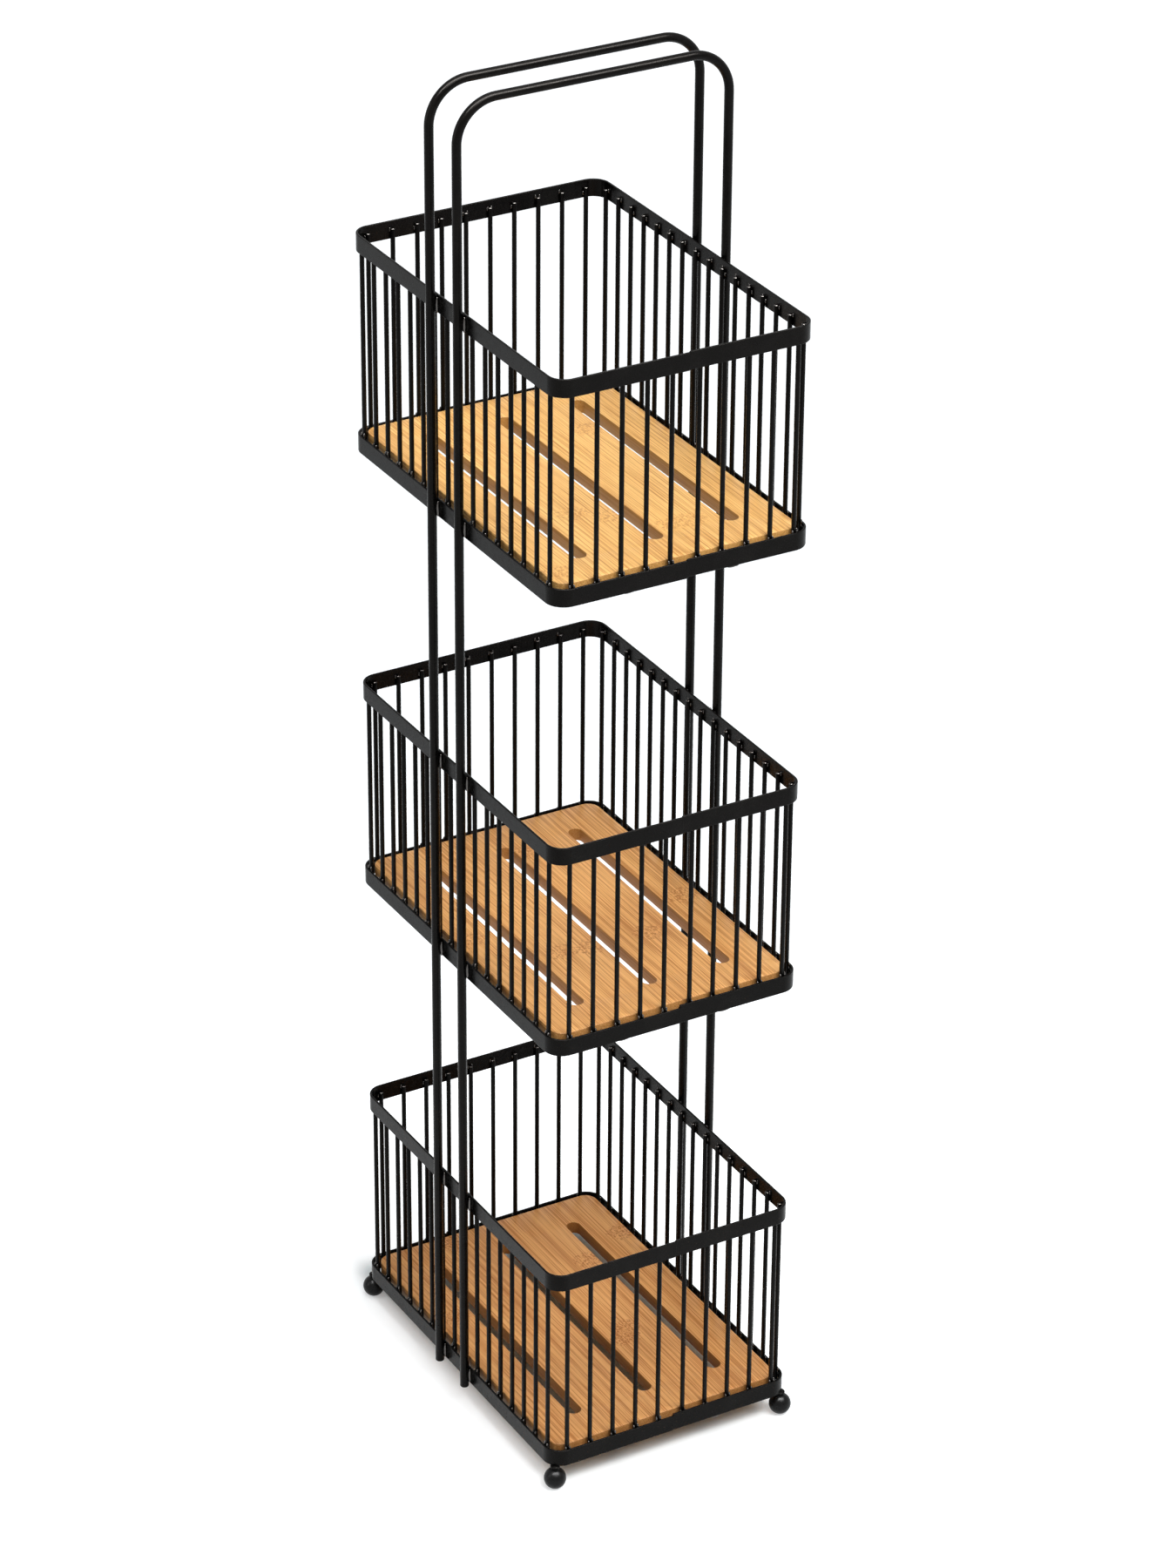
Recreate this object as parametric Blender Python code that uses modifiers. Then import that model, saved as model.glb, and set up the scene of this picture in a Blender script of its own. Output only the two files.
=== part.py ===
"""Three-tier storage caddy: three wire baskets with bamboo boards, hung on two rod hoops.

Run with: blender --background --python part.py
Units are metres and +Z is up. X runs across the short side of the baskets and Y along
their long side. The origin is on the floor, under the middle of the caddy.
"""
import math

import bmesh
import bpy
from mathutils import Matrix, Vector

# Baskets. Width and length are measured outside the upper band.
BASKET_WIDTH = 0.181
BASKET_LENGTH = 0.265
BASKET_HEIGHT = 0.150
TIERS = ("bottom", "middle", "top")
TIER_PITCH = 0.317
FLOOR_CLEARANCE = 0.0172

# Flat steel strip that makes the upper and lower band of each basket.
BAND_HEIGHT = 0.012
BAND_THICKNESS = 0.0015
BAND_CORNER_RADIUS = 0.012

# Upright wires, welded to the inner faces of the bands.
WIRE_DIAMETER = 0.0031
WIRES_ON_LONG_SIDE = 16
WIRES_ON_SHORT_SIDE = 10
WIRE_END_INSET = 0.0045
WELD_DEPTH = 0.0003
SEAM_GAP_EXTRA = 0.0017

# Round rods of the two hoops that carry the baskets.
ROD_DIAMETER = 0.006
HOOP_SPACING = 0.035
HANDLE_RISE = 0.139
HOOP_BEND_RADIUS = 0.027
ROD_TIP_DROP = 0.0022

# Bamboo board and the two flat bars under it.
BOARD_THICKNESS = 0.009
BOARD_ABOVE_BAND = 0.001
BOARD_SIDE_CLEARANCE = 0.001
BOARD_CORNER_RADIUS = 0.009
BOARD_EDGE_ROUNDING = 0.0005
SLOT_COUNT = 3
SLOT_WIDTH = 0.010
SLOT_LENGTH = 0.201
SLOT_PITCH = 0.054
BAR_WIDTH = 0.008
BAR_THICKNESS = 0.003
BAR_EDGE_ROUNDING = 0.0004
BAR_SPACING = 0.074

# Ball feet on studs under the corners of the lowest band.
BALL_DIAMETER = 0.015
BALL_FLAT_DIAMETER = 0.004
BALL_TOP_FLAT_DIAMETER = 0.0056
STUD_DIAMETER = 0.004
STUD_LENGTH_IN_BALL = 0.0065
COLLAR_DIAMETER = 0.0064
COLLAR_THICKNESS = 0.0012

# Gap left between two pieces that touch on the real caddy.
CLEARANCE = 0.0003

# Smoothness of round shapes.
CORNER_SEGMENTS = 8
SLOT_END_SEGMENTS = 8
WIRE_SIDES = 8
ROD_BEVEL_RESOLUTION = 4
BEND_SEGMENTS = 10
TURNED_STEPS = 16
BALL_ARC_SEGMENTS = 8
MERGE_DISTANCE = 0.00001

# Derived sizes.
WIRE_RADIUS = WIRE_DIAMETER / 2
WIRE_APOTHEM = WIRE_RADIUS * math.cos(math.pi / WIRE_SIDES)
ROD_RADIUS = ROD_DIAMETER / 2
WIRE_INSET = BAND_THICKNESS - WELD_DEPTH + WIRE_APOTHEM
LOWER_BAND_GROWTH = 2 * (WELD_DEPTH + CLEARANCE)
LOWER_WIDTH = BASKET_WIDTH + LOWER_BAND_GROWTH
LOWER_LENGTH = BASKET_LENGTH + LOWER_BAND_GROWTH
LOWER_CORNER_RADIUS = BAND_CORNER_RADIUS + LOWER_BAND_GROWTH / 2
INSIDE_WIDTH = BASKET_WIDTH - 2 * (WIRE_INSET + WIRE_RADIUS)
INSIDE_LENGTH = BASKET_LENGTH - 2 * (WIRE_INSET + WIRE_RADIUS)
BOARD_WIDTH = INSIDE_WIDTH - 2 * BOARD_SIDE_CLEARANCE
BOARD_LENGTH = INSIDE_LENGTH - 2 * BOARD_SIDE_CLEARANCE
BOARD_BOTTOM = BAND_HEIGHT + BOARD_ABOVE_BAND - BOARD_THICKNESS
BAR_LENGTH = LOWER_LENGTH - 2 * (BAND_THICKNESS + CLEARANCE)
BAR_BOTTOM = BOARD_BOTTOM - CLEARANCE - BAR_THICKNESS
BALL_RADIUS = BALL_DIAMETER / 2

BLACK_COAT = ("black_powder_coat", (0.018, 0.018, 0.019, 1.0), 0.42, 0.0)
BAMBOO = ("bamboo", (0.68, 0.42, 0.20, 1.0), 0.50, 0.0)
FOOT_BLACK = ("foot_black", (0.015, 0.015, 0.016, 1.0), 0.28, 0.0)


def clear_scene():
    """Removes every object of the startup scene."""
    for thing in list(bpy.data.objects):
        bpy.data.objects.remove(thing, do_unlink=True)


def make_collection(name):
    """Adds a collection to the scene."""
    collection = bpy.data.collections.new(name)
    bpy.context.scene.collection.children.link(collection)
    return collection


def make_material(spec):
    """Makes a Principled material from a name, colour, roughness and metallic value."""
    name, colour, roughness, metallic = spec
    material = bpy.data.materials.new(name)
    material.use_nodes = True
    shader = material.node_tree.nodes["Principled BSDF"]
    shader.inputs["Base Color"].default_value = colour
    shader.inputs["Roughness"].default_value = roughness
    shader.inputs["Metallic"].default_value = metallic
    material.diffuse_color = colour
    return material


def place(thing, collection, material=None, parent=None, location=(0.0, 0.0, 0.0)):
    """Puts an object in its collection, under its parent, with its material."""
    collection.objects.link(thing)
    thing.parent = parent
    thing.location = location
    if material is not None:
        thing.data.materials.clear()
        thing.data.materials.append(material)
    return thing


def arc(centre_x, centre_y, radius, start, end, segments):
    """Points on an arc, from the start angle to the end angle in degrees."""
    points = []
    for step in range(segments + 1):
        angle = math.radians(start + (end - start) * step / segments)
        points.append((centre_x + radius * math.cos(angle), centre_y + radius * math.sin(angle)))
    return points


def rounded_rectangle(width, length, radius):
    """Outline of a rectangle with round corners, anticlockwise round the origin."""
    x = width / 2 - radius
    y = length / 2 - radius
    outline = arc(x, y, radius, 0, 90, CORNER_SEGMENTS)
    outline += arc(-x, y, radius, 90, 180, CORNER_SEGMENTS)
    outline += arc(-x, -y, radius, 180, 270, CORNER_SEGMENTS)
    outline += arc(x, -y, radius, 270, 360, CORNER_SEGMENTS)
    return outline


def slot_outline(centre_x, width, length):
    """Outline of a round-ended slot along Y."""
    radius = width / 2
    y = length / 2 - radius
    outline = arc(centre_x, y, radius, 0, 180, SLOT_END_SEGMENTS)
    outline += arc(centre_x, -y, radius, 180, 360, SLOT_END_SEGMENTS)
    return outline


def flat_curve(name, outlines, thickness):
    """A filled 2D curve with the first outline as its edge and the others as holes."""
    curve = bpy.data.curves.new(name, "CURVE")
    curve.dimensions = "2D"
    curve.fill_mode = "BOTH"
    curve.extrude = thickness / 2
    for outline in outlines:
        spline = curve.splines.new("POLY")
        spline.points.add(len(outline) - 1)
        for point, (x, y) in zip(spline.points, outline):
            point.co = (x, y, 0.0, 1.0)
        spline.use_cyclic_u = True
    return bpy.data.objects.new(name, curve)


def flat_plate(name, outlines, thickness):
    """A closed plate of one thickness, standing on its own origin."""
    source = flat_curve(name + "_outline", outlines, thickness)
    bpy.context.scene.collection.objects.link(source)
    graph = bpy.context.evaluated_depsgraph_get()
    mesh = bpy.data.meshes.new_from_object(source.evaluated_get(graph))
    curve = source.data
    bpy.data.objects.remove(source, do_unlink=True)
    bpy.data.curves.remove(curve)
    mesh.name = name
    mesh.transform(Matrix.Translation((0.0, 0.0, thickness / 2)))
    shape = bmesh.new()
    shape.from_mesh(mesh)
    bmesh.ops.remove_doubles(shape, verts=shape.verts, dist=MERGE_DISTANCE)
    bmesh.ops.recalc_face_normals(shape, faces=shape.faces)
    shape.to_mesh(mesh)
    shape.free()
    return bpy.data.objects.new(name, mesh)


def band(name, width, length, radius):
    """A strip of flat steel bent round the basket."""
    outer = rounded_rectangle(width, length, radius)
    inner = rounded_rectangle(
        width - 2 * BAND_THICKNESS, length - 2 * BAND_THICKNESS, radius - BAND_THICKNESS
    )
    return flat_plate(name, (outer, inner), BAND_HEIGHT)


def spread(count, span, middle_extra=0.0):
    """Evenly spread places along a span, with the middle gap wider by middle_extra."""
    pitch = (span - middle_extra) / (count - 1)
    places = []
    for index in range(count):
        shift = middle_extra if index >= count / 2 else 0.0
        places.append(-span / 2 + index * pitch + shift)
    return places


def wire_places():
    """Centres of all the wires of one basket, with the direction of the band behind each."""
    side_x = BASKET_WIDTH / 2 - WIRE_INSET
    side_y = BASKET_LENGTH / 2 - WIRE_INSET
    long_span = BASKET_LENGTH - 2 * BAND_CORNER_RADIUS
    short_span = BASKET_WIDTH - 2 * BAND_CORNER_RADIUS
    places = []
    for y in spread(WIRES_ON_LONG_SIDE, long_span):
        places.append((side_x, y))
        places.append((-side_x, y))
    for x in spread(WIRES_ON_SHORT_SIDE, short_span):
        places.append((x, side_y))
    for x in spread(WIRES_ON_SHORT_SIDE, short_span, SEAM_GAP_EXTRA):
        places.append((x, -side_y))
    return places


def wire_set(name):
    """All the wires of one basket, as separate cylinders in one mesh."""
    length = BASKET_HEIGHT - 2 * WIRE_END_INSET
    half_side = Matrix.Rotation(math.pi / WIRE_SIDES, 4, "Z")
    shape = bmesh.new()
    for x, y in wire_places():
        bmesh.ops.create_cone(
            shape,
            cap_ends=True,
            segments=WIRE_SIDES,
            radius1=WIRE_RADIUS,
            radius2=WIRE_RADIUS,
            depth=length,
            matrix=Matrix.Translation((x, y, WIRE_END_INSET + length / 2)) @ half_side,
        )
    mesh = bpy.data.meshes.new(name)
    shape.to_mesh(mesh)
    shape.free()
    return bpy.data.objects.new(name, mesh)


def add_bevel(thing, width):
    """Rounds the sharp edges of an object."""
    bevel = thing.modifiers.new("rounded_edges", "BEVEL")
    bevel.width = width
    bevel.segments = 1
    bevel.limit_method = "ANGLE"
    bevel.angle_limit = math.radians(60)


def make_cage(tier, parent, parts, cutters, material):
    """The upper band with its upright wires, which are welded to it."""
    wires = place(wire_set(tier + "_wires"), cutters, None, parent)
    wires.hide_render = True
    wires.display_type = "WIRE"
    upper = band(tier + "_wire_cage", BASKET_WIDTH, BASKET_LENGTH, BAND_CORNER_RADIUS)
    upper.data.transform(Matrix.Translation((0.0, 0.0, BASKET_HEIGHT - BAND_HEIGHT)))
    place(upper, parts, material, parent)
    weld = upper.modifiers.new("welded_wires", "BOOLEAN")
    weld.operation = "UNION"
    weld.object = wires
    return upper


def make_bars(tier, parent, parts, material):
    """The two flat bars that run the length of the basket and carry the board."""
    for side, sign in (("left", -1), ("right", 1)):
        bpy.ops.mesh.primitive_cube_add(size=1.0)
        bar = bpy.context.active_object
        bar.name = f"{tier}_support_bar_{side}"
        bar.data.name = bar.name
        bar.data.transform(Matrix.Diagonal((BAR_WIDTH, BAR_LENGTH, BAR_THICKNESS, 1.0)))
        for collection in list(bar.users_collection):
            collection.objects.unlink(bar)
        centre = (sign * BAR_SPACING / 2, 0.0, BAR_BOTTOM + BAR_THICKNESS / 2)
        place(bar, parts, material, parent, centre)
        add_bevel(bar, BAR_EDGE_ROUNDING)


def make_board(tier, parent, parts, material):
    """The bamboo board, with its long slots, lying on the bars inside the wires."""
    outlines = [rounded_rectangle(BOARD_WIDTH, BOARD_LENGTH, BOARD_CORNER_RADIUS)]
    for index in range(SLOT_COUNT):
        centre_x = (index - (SLOT_COUNT - 1) / 2) * SLOT_PITCH
        outlines.append(slot_outline(centre_x, SLOT_WIDTH, SLOT_LENGTH))
    board = flat_plate(tier + "_board", outlines, BOARD_THICKNESS)
    place(board, parts, material, parent, (0.0, 0.0, BOARD_BOTTOM))
    add_bevel(board, BOARD_EDGE_ROUNDING)


def make_basket(tier, height, parts, cutters, steel, bamboo):
    """One whole basket, under an empty at the height of its lower edge."""
    base = bpy.data.objects.new(tier + "_basket", None)
    place(base, parts, location=(0.0, 0.0, height))
    make_cage(tier, base, parts, cutters, steel)
    lower = band(tier + "_base_band", LOWER_WIDTH, LOWER_LENGTH, LOWER_CORNER_RADIUS)
    place(lower, parts, steel, base)
    make_bars(tier, base, parts, steel)
    make_board(tier, base, parts, bamboo)


def hoop_path():
    """Centre line of a hoop in the XZ plane, from the left tip over the top to the right."""
    x = LOWER_WIDTH / 2 + CLEARANCE + ROD_RADIUS
    bottom = FLOOR_CLEARANCE - ROD_TIP_DROP
    rim = FLOOR_CLEARANCE + (len(TIERS) - 1) * TIER_PITCH + BASKET_HEIGHT
    top = rim + HANDLE_RISE - ROD_RADIUS
    bend_x = x - HOOP_BEND_RADIUS
    bend_z = top - HOOP_BEND_RADIUS
    path = [(-x, bottom)]
    path += arc(-bend_x, bend_z, HOOP_BEND_RADIUS, 180, 90, BEND_SEGMENTS)
    path += arc(bend_x, bend_z, HOOP_BEND_RADIUS, 90, 0, BEND_SEGMENTS)
    path.append((x, bottom))
    return path


def make_hoop(name, y, parts, material):
    """One round rod bent into a tall hoop, its legs outside the long sides."""
    path = hoop_path()
    curve = bpy.data.curves.new(name, "CURVE")
    curve.dimensions = "3D"
    curve.bevel_depth = ROD_RADIUS
    curve.bevel_resolution = ROD_BEVEL_RESOLUTION
    curve.use_fill_caps = True
    spline = curve.splines.new("POLY")
    spline.points.add(len(path) - 1)
    for point, (x, z) in zip(spline.points, path):
        point.co = (x, 0.0, z, 1.0)
    spline.use_smooth = True
    return place(bpy.data.objects.new(name, curve), parts, material, None, (0.0, y, 0.0))


def turned(name, profile):
    """A turned piece from its half profile, which runs down its outer side."""
    mesh = bpy.data.meshes.new(name)
    edges = [(index, index + 1) for index in range(len(profile) - 1)]
    mesh.from_pydata([(radius, 0.0, z) for radius, z in profile], edges, [])
    thing = bpy.data.objects.new(name, mesh)
    lathe = thing.modifiers.new("turned", "SCREW")
    lathe.axis = "Z"
    lathe.steps = TURNED_STEPS
    lathe.render_steps = TURNED_STEPS
    lathe.use_merge_vertices = True
    lathe.merge_threshold = MERGE_DISTANCE
    lathe.use_smooth_shade = True
    return thing


def ball_centre_height():
    """Height of a ball's centre over the floor flat that it stands on."""
    return math.sqrt(BALL_RADIUS**2 - (BALL_FLAT_DIAMETER / 2) ** 2)


def ball_top_height():
    """Height of the flat round the stud, on top of a ball."""
    return ball_centre_height() + math.sqrt(BALL_RADIUS**2 - (BALL_TOP_FLAT_DIAMETER / 2) ** 2)


def ball_profile():
    """Half profile of a ball foot, with its blind hole for the stud and its floor flat."""
    hole_radius = STUD_DIAMETER / 2 + CLEARANCE
    centre = ball_centre_height()
    top = ball_top_height()
    hole_floor = top - STUD_LENGTH_IN_BALL - CLEARANCE
    start = math.degrees(math.acos(BALL_TOP_FLAT_DIAMETER / BALL_DIAMETER))
    end = -math.degrees(math.acos(BALL_FLAT_DIAMETER / BALL_DIAMETER))
    profile = [(0.0, hole_floor), (hole_radius, hole_floor), (hole_radius, top)]
    profile += arc(0.0, centre, BALL_RADIUS, start, end, BALL_ARC_SEGMENTS)
    profile.append((0.0, 0.0))
    return profile


def stud_profile():
    """Half profile of a foot's stud, with the collar that is welded under the band."""
    collar_top = FLOOR_CLEARANCE - CLEARANCE
    collar_bottom = collar_top - COLLAR_THICKNESS
    tip = ball_top_height() - STUD_LENGTH_IN_BALL
    return [
        (0.0, collar_top),
        (COLLAR_DIAMETER / 2, collar_top),
        (COLLAR_DIAMETER / 2, collar_bottom),
        (STUD_DIAMETER / 2, collar_bottom),
        (STUD_DIAMETER / 2, tip),
        (0.0, tip),
    ]


def foot_places():
    """The four corners of the lowest band, on the middle of the strip's thickness."""
    reach = (LOWER_CORNER_RADIUS - BAND_THICKNESS / 2) * math.sqrt(0.5)
    x = LOWER_WIDTH / 2 - LOWER_CORNER_RADIUS + reach
    y = LOWER_LENGTH / 2 - LOWER_CORNER_RADIUS + reach
    return {
        "front_left": Vector((-x, -y, 0.0)),
        "front_right": Vector((x, -y, 0.0)),
        "rear_left": Vector((-x, y, 0.0)),
        "rear_right": Vector((x, y, 0.0)),
    }


def make_feet(parts, steel, black):
    """A stud and a ball under each corner."""
    for corner, location in foot_places().items():
        place(turned("foot_stud_" + corner, stud_profile()), parts, steel, None, location)
        place(turned("foot_ball_" + corner, ball_profile()), parts, black, None, location)


def main():
    """Builds the whole caddy."""
    clear_scene()
    parts = make_collection("three_tier_storage_caddy")
    cutters = make_collection("cutters")
    steel = make_material(BLACK_COAT)
    bamboo = make_material(BAMBOO)
    black = make_material(FOOT_BLACK)
    for index, tier in enumerate(TIERS):
        height = FLOOR_CLEARANCE + index * TIER_PITCH
        make_basket(tier, height, parts, cutters, steel, bamboo)
    for name, side in (("front_hoop", -1), ("rear_hoop", 1)):
        make_hoop(name, side * HOOP_SPACING / 2, parts, steel)
    make_feet(parts, steel, black)


main()
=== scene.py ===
"""Looks of the three-tier storage caddy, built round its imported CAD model.

Three wire baskets with slotted bamboo boards hang between two tall rod hoops and stand on
ball feet. Lengths are in metres, +Z is up, X crosses the short side of the baskets and Y
runs along their long side.
"""
import logging
import math
import random
from contextlib import contextmanager
from dataclasses import dataclass, field
from enum import Enum
from typing import Callable, Iterator

import bmesh
import bpy
from mathutils import Matrix, Vector


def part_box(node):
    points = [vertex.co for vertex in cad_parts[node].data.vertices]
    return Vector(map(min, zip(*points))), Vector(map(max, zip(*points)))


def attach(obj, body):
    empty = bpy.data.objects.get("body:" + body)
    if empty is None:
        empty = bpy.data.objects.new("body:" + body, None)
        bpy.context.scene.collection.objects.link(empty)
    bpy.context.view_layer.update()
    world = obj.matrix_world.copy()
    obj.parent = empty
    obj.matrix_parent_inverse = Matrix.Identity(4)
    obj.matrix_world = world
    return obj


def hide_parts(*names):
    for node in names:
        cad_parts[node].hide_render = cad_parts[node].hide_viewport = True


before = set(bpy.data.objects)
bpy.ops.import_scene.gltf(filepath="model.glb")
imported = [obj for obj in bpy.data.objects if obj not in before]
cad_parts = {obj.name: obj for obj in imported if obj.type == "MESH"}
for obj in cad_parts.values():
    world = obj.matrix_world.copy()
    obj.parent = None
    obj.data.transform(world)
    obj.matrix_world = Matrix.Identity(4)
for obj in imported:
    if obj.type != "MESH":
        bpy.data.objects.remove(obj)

LOG = logging.getLogger("caddy")
Colour = tuple[float, float, float, float]
Point = tuple[float, float, float]
Span = tuple[float, float]
Piece = bpy.types.Object
Finish = bpy.types.Material
Socket = bpy.types.NodeSocket

WHITE: Colour = (1.0, 1.0, 1.0, 1.0)
# Most values of a noise texture lie between these two.
NOISE_SPAN: Span = (0.3, 0.7)
# Thickness of the strips, and the X at which their ends meet in the front.
STRIP_THICKNESS = 0.0015
SEAM_X = 0.001
# Two points nearer than this are one to a cut.
CUT_TOLERANCE = 0.000001
# The least part of a face's normal along an axis for the face to look that way.
FACING = 0.9


class Tier(Enum):
    """The three baskets, from the floor up."""

    BOTTOM = "bottom"
    MIDDLE = "middle"
    TOP = "top"


class Element(Enum):
    """What is picked in edit mode, with the name of its list in a bmesh."""

    VERT = "verts"
    EDGE = "edges"
    FACE = "faces"


class Corner(Enum):
    """The corners of the lowest strip, each with a foot."""

    FRONT_LEFT = "front_left"
    FRONT_RIGHT = "front_right"
    REAR_LEFT = "rear_left"
    REAR_RIGHT = "rear_right"


# --- Workbench ---


def deselect_all() -> None:
    """Leaves nothing selected, because an operator acts on all that is."""
    if bpy.context.mode != "OBJECT":
        bpy.ops.object.mode_set(mode="OBJECT")
    bpy.ops.object.select_all(action="DESELECT")


def make_active(piece: Piece) -> None:
    """Selects one object alone and makes it the active one.

    Args:
        piece: The object that the next operators work on.
    """
    deselect_all()
    piece.select_set(True)
    bpy.context.view_layer.objects.active = piece


@contextmanager
def editing(piece: Piece) -> Iterator[None]:
    """Keeps one piece in edit mode, with all of it selected at first.

    Args:
        piece: The object to edit.

    Yields:
        Nothing; the work is done inside the with block.
    """
    make_active(piece)
    bpy.ops.object.mode_set(mode="EDIT")
    bpy.ops.mesh.select_mode(type="VERT")
    bpy.ops.mesh.select_all(action="SELECT")
    yield
    bpy.ops.object.mode_set(mode="OBJECT")


def pick(piece: Piece, element: Element, wanted: Callable[..., bool]) -> None:
    """Selects the parts of a mesh in edit mode that pass a test.

    Args:
        piece: The object in edit mode.
        element: Whether vertices, edges or faces are tested.
        wanted: Takes a bmesh element and says whether it is selected.
    """
    bpy.ops.mesh.select_mode(type=element.name)
    bpy.ops.mesh.select_all(action="DESELECT")
    mesh = bmesh.from_edit_mesh(piece.data)
    for part in filter(wanted, getattr(mesh, element.value)):
        part.select_set(True)
    mesh.select_flush_mode()
    bmesh.update_edit_mesh(piece.data)


def adopt(name: str, scale: Point | Vector = (1.0, 1.0, 1.0)) -> Piece:
    """Names the object that an operator has just made, and settles its place in its mesh.

    Args:
        name: New name of the object and its mesh.
        scale: Factors for X, Y and Z.

    Returns:
        The active object.
    """
    piece = bpy.context.active_object
    piece.name = name
    piece.data.name = name
    piece.scale = scale
    make_active(piece)
    bpy.ops.object.transform_apply(location=True, rotation=True, scale=True)
    return piece


def apply_modifier(piece: Piece, kind: str, **settings: object) -> None:
    """Adds one modifier to a piece and applies it.

    Args:
        piece: The object to change.
        kind: Blender's name of the modifier's type.
        **settings: Properties of the modifier.
    """
    make_active(piece)
    bpy.ops.object.modifier_add(type=kind)
    modifier = piece.modifiers[-1]
    for key, value in settings.items():
        setattr(modifier, key, value)
    bpy.ops.object.modifier_apply(modifier=modifier.name)


def round_edges(piece: Piece, width: float, segments: int, degrees: float) -> None:
    """Rounds every edge of a piece that is sharper than an angle."""
    apply_modifier(
        piece, "BEVEL", width=width, segments=segments, limit_method="ANGLE",
        angle_limit=math.radians(degrees),
    )


def extrude(step: Point) -> None:
    """Draws what is selected in edit mode out in a straight line."""
    bpy.ops.mesh.extrude_region_move(TRANSFORM_OT_translate={"value": step})


def bevel(width: float, segments: int, affect: str = "EDGES") -> None:
    """Rounds what is selected in edit mode."""
    bpy.ops.mesh.bevel(offset=width, segments=segments, affect=affect)


def smooth(piece: Piece, degrees: float) -> None:
    """Shades a piece smooth, but for its edges above an angle."""
    make_active(piece)
    bpy.ops.object.shade_smooth_by_angle(angle=math.radians(degrees))


def copied(source: Piece, place: Point | Vector, turn: float = 0.0) -> Piece:
    """Copies a piece with its own mesh and puts the copy's place in that mesh.

    Args:
        source: The piece, modelled at the origin.
        place: Where the copy goes.
        turn: How far it is turned round Z first, in radians.

    Returns:
        The new object.
    """
    twin = source.copy()
    twin.data = source.data.copy()
    twin.data.transform(Matrix.Translation(place) @ Matrix.Rotation(turn, 4, "Z"))
    bpy.context.scene.collection.objects.link(twin)
    return twin


def remove(piece: Piece) -> None:
    """Deletes a helper's mesh, and with it the object."""
    bpy.data.meshes.remove(piece.data, do_unlink=True)


def gathered(copies: list[Piece], patterns: list[Piece], name: str) -> Piece:
    """Joins copies into one object and deletes what they were copied from.

    Args:
        copies: The objects to join.
        patterns: The objects to delete.
        name: Name of the result.

    Returns:
        The joined object.
    """
    for pattern in patterns:
        remove(pattern)
    make_active(copies[0])
    for piece in copies:
        piece.select_set(True)
    bpy.ops.object.join()
    return adopt(name)


def dress(piece: Piece, *finishes: Finish) -> None:
    """Gives a piece its materials, in the order of its slots.

    Args:
        piece: The object to dress.
        *finishes: One material for each slot.
    """
    piece.data.materials.clear()
    for material in finishes:
        piece.data.materials.append(material)


def hand_over(piece: Piece, body: str, slot: str, *nodes: str) -> None:
    """Lets a finished piece ride on its body and stand for its CAD nodes.

    Args:
        piece: The finished object.
        body: Name of the CAD body that carries it.
        slot: Name of a material slot; not used.
        *nodes: CAD nodes that the piece stands for.
    """
    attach(piece, body)
    if nodes:
        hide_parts(*nodes)
    LOG.info("%s rides on %s: %d faces", piece.name, body, len(piece.data.polygons))


def finish(piece: Piece, coat: Finish, *nodes: str) -> None:
    """Dresses a steel piece in one coat and hands it over to the frame."""
    dress(piece, coat)
    hand_over(piece, "frame", "black_powder_coat", *nodes)


# --- Finishes ---


class Graph:
    """A node tree, with short ways to add nodes to it."""

    def __init__(self, tree: bpy.types.NodeTree) -> None:
        """Takes the node tree of a material or a world."""
        self.tree = tree

    def add(self, kind: str, inputs: dict | None = None, **settings: object) -> bpy.types.Node:
        """Adds a node.

        Args:
            kind: Blender's name of the node's type.
            inputs: Value or socket for each named or numbered input.
            **settings: Properties of the node.

        Returns:
            The new node.
        """
        node = self.tree.nodes.new(kind)
        for key, value in settings.items():
            setattr(node, key, value)
        for key, value in (inputs or {}).items():
            self.feed(node.inputs[key], value)
        return node

    def feed(self, target: Socket, value: object) -> None:
        """Sets an input.

        Args:
            target: The input.
            value: Its value, or another node's output to link it to.
        """
        if isinstance(value, bpy.types.NodeSocket):
            self.tree.links.new(value, target)
        else:
            target.default_value = value

    def math(self, operation: str, first: object, second: object = 0.0) -> Socket:
        """Adds a Math node and returns its output."""
        return self.add("ShaderNodeMath", {0: first, 1: second}, operation=operation).outputs[0]

    def vector(self, operation: str, *values: object) -> Socket:
        """Adds a Vector Math node and returns its output, a vector or a length."""
        node = self.add("ShaderNodeVectorMath", dict(enumerate(values)), operation=operation)
        return node.outputs["Value" if operation == "LENGTH" else "Vector"]

    def ramp(
        self, value: Socket, low: float, high: float, start: float = 0.0, end: float = 1.0
    ) -> Socket:
        """Maps a value smoothly from low and high to start and end."""
        wanted = {0: value, 1: low, 2: high, 3: start, 4: end}
        return self.add("ShaderNodeMapRange", wanted, interpolation_type="SMOOTHSTEP").outputs[0]

    def blend(self, share: object, first: object, second: object) -> Socket:
        """Mixes two colours, of which the second shows by a share."""
        wanted = {0: share, 6: first, 7: second}
        return self.add("ShaderNodeMix", wanted, data_type="RGBA").outputs[2]

    def seen(self) -> Socket:
        """1 where the camera or a reflection looks, and 0 for light that falls."""
        path = self.add("ShaderNodeLightPath").outputs
        return self.math(
            "MAXIMUM", path["Is Camera Ray"],
            self.math("MAXIMUM", path["Is Glossy Ray"], path["Is Transmission Ray"]),
        )


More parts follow.
